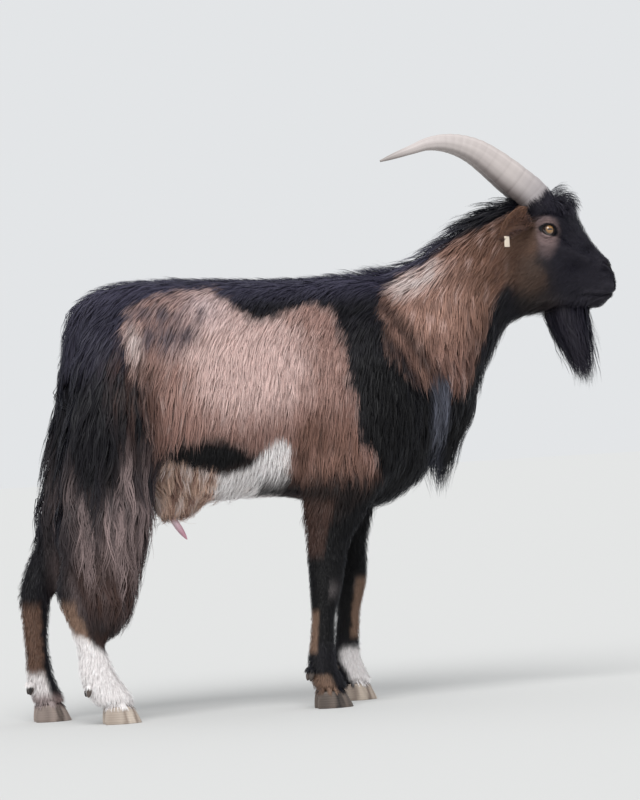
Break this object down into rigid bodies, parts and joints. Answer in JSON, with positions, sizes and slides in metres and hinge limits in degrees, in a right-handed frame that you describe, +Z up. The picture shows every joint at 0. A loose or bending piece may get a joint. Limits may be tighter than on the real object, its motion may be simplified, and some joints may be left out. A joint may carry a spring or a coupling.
{
  "type": "goat",
  "caption": "Life-size standing long-haired male goat with swept-back horns, beard, shaggy hind skirts and a black, tan, brown and white coat.",
  "frame": {"origin": "on the floor under the middle of the goat's length and width", "axes": "+X towards the head, +Y to the goat's left, +Z up"},
  "size_m": [1.2569, 0.35, 1.1423],
  "materials": {
    "coat_black": "long coarse black hair with a soft sheen",
    "coat_tan": "dense greyish-tan hair",
    "coat_brown": "wavy red-brown hair",
    "coat_white": "short white hair",
    "horn": "ridged grey-beige keratin",
    "hoof": "worn keratin",
    "eye": "wet, amber with a level dark pupil",
    "skin": "bare pink skin",
    "tag": "plain and unmarked"
  },
  "bodies": {
    "root": {"trunk": "coat_tan", "sheath": "coat_tan", "neck": "coat_brown", "ear_left": "coat_brown", "ear_right": "coat_brown", "head": "coat_black", "beard": "coat_black", "chest_mane": "coat_black", "tail": "coat_black", "scrotum": "coat_black", "thigh_left": "coat_black", "thigh_right": "coat_black", "foreleg_upper_left": "coat_black", "foreleg_upper_right": "coat_black", "foreleg_lower_left": "coat_black", "foreleg_lower_right": "coat_black", "hindleg_lower_left": "coat_white", "hindleg_lower_right": "coat_white", "horn_left": "horn", "horn_right": "horn", "eye_left": "eye", "eye_right": "eye", "sheath_tip": "skin", "ear_tag": "tag", "fore_left_claw_outer": "hoof", "fore_left_dewclaw_outer": "hoof", "fore_left_claw_inner": "hoof", "fore_left_dewclaw_inner": "hoof", "fore_right_claw_outer": "hoof", "fore_right_dewclaw_outer": "hoof", "fore_right_claw_inner": "hoof", "fore_right_dewclaw_inner": "hoof", "hind_left_claw_outer": "hoof", "hind_left_dewclaw_outer": "hoof", "hind_left_claw_inner": "hoof", "hind_left_dewclaw_inner": "hoof", "hind_right_claw_outer": "hoof", "hind_right_dewclaw_outer": "hoof", "hind_right_claw_inner": "hoof", "hind_right_dewclaw_inner": "hoof"}
  },
  "joints": []
}
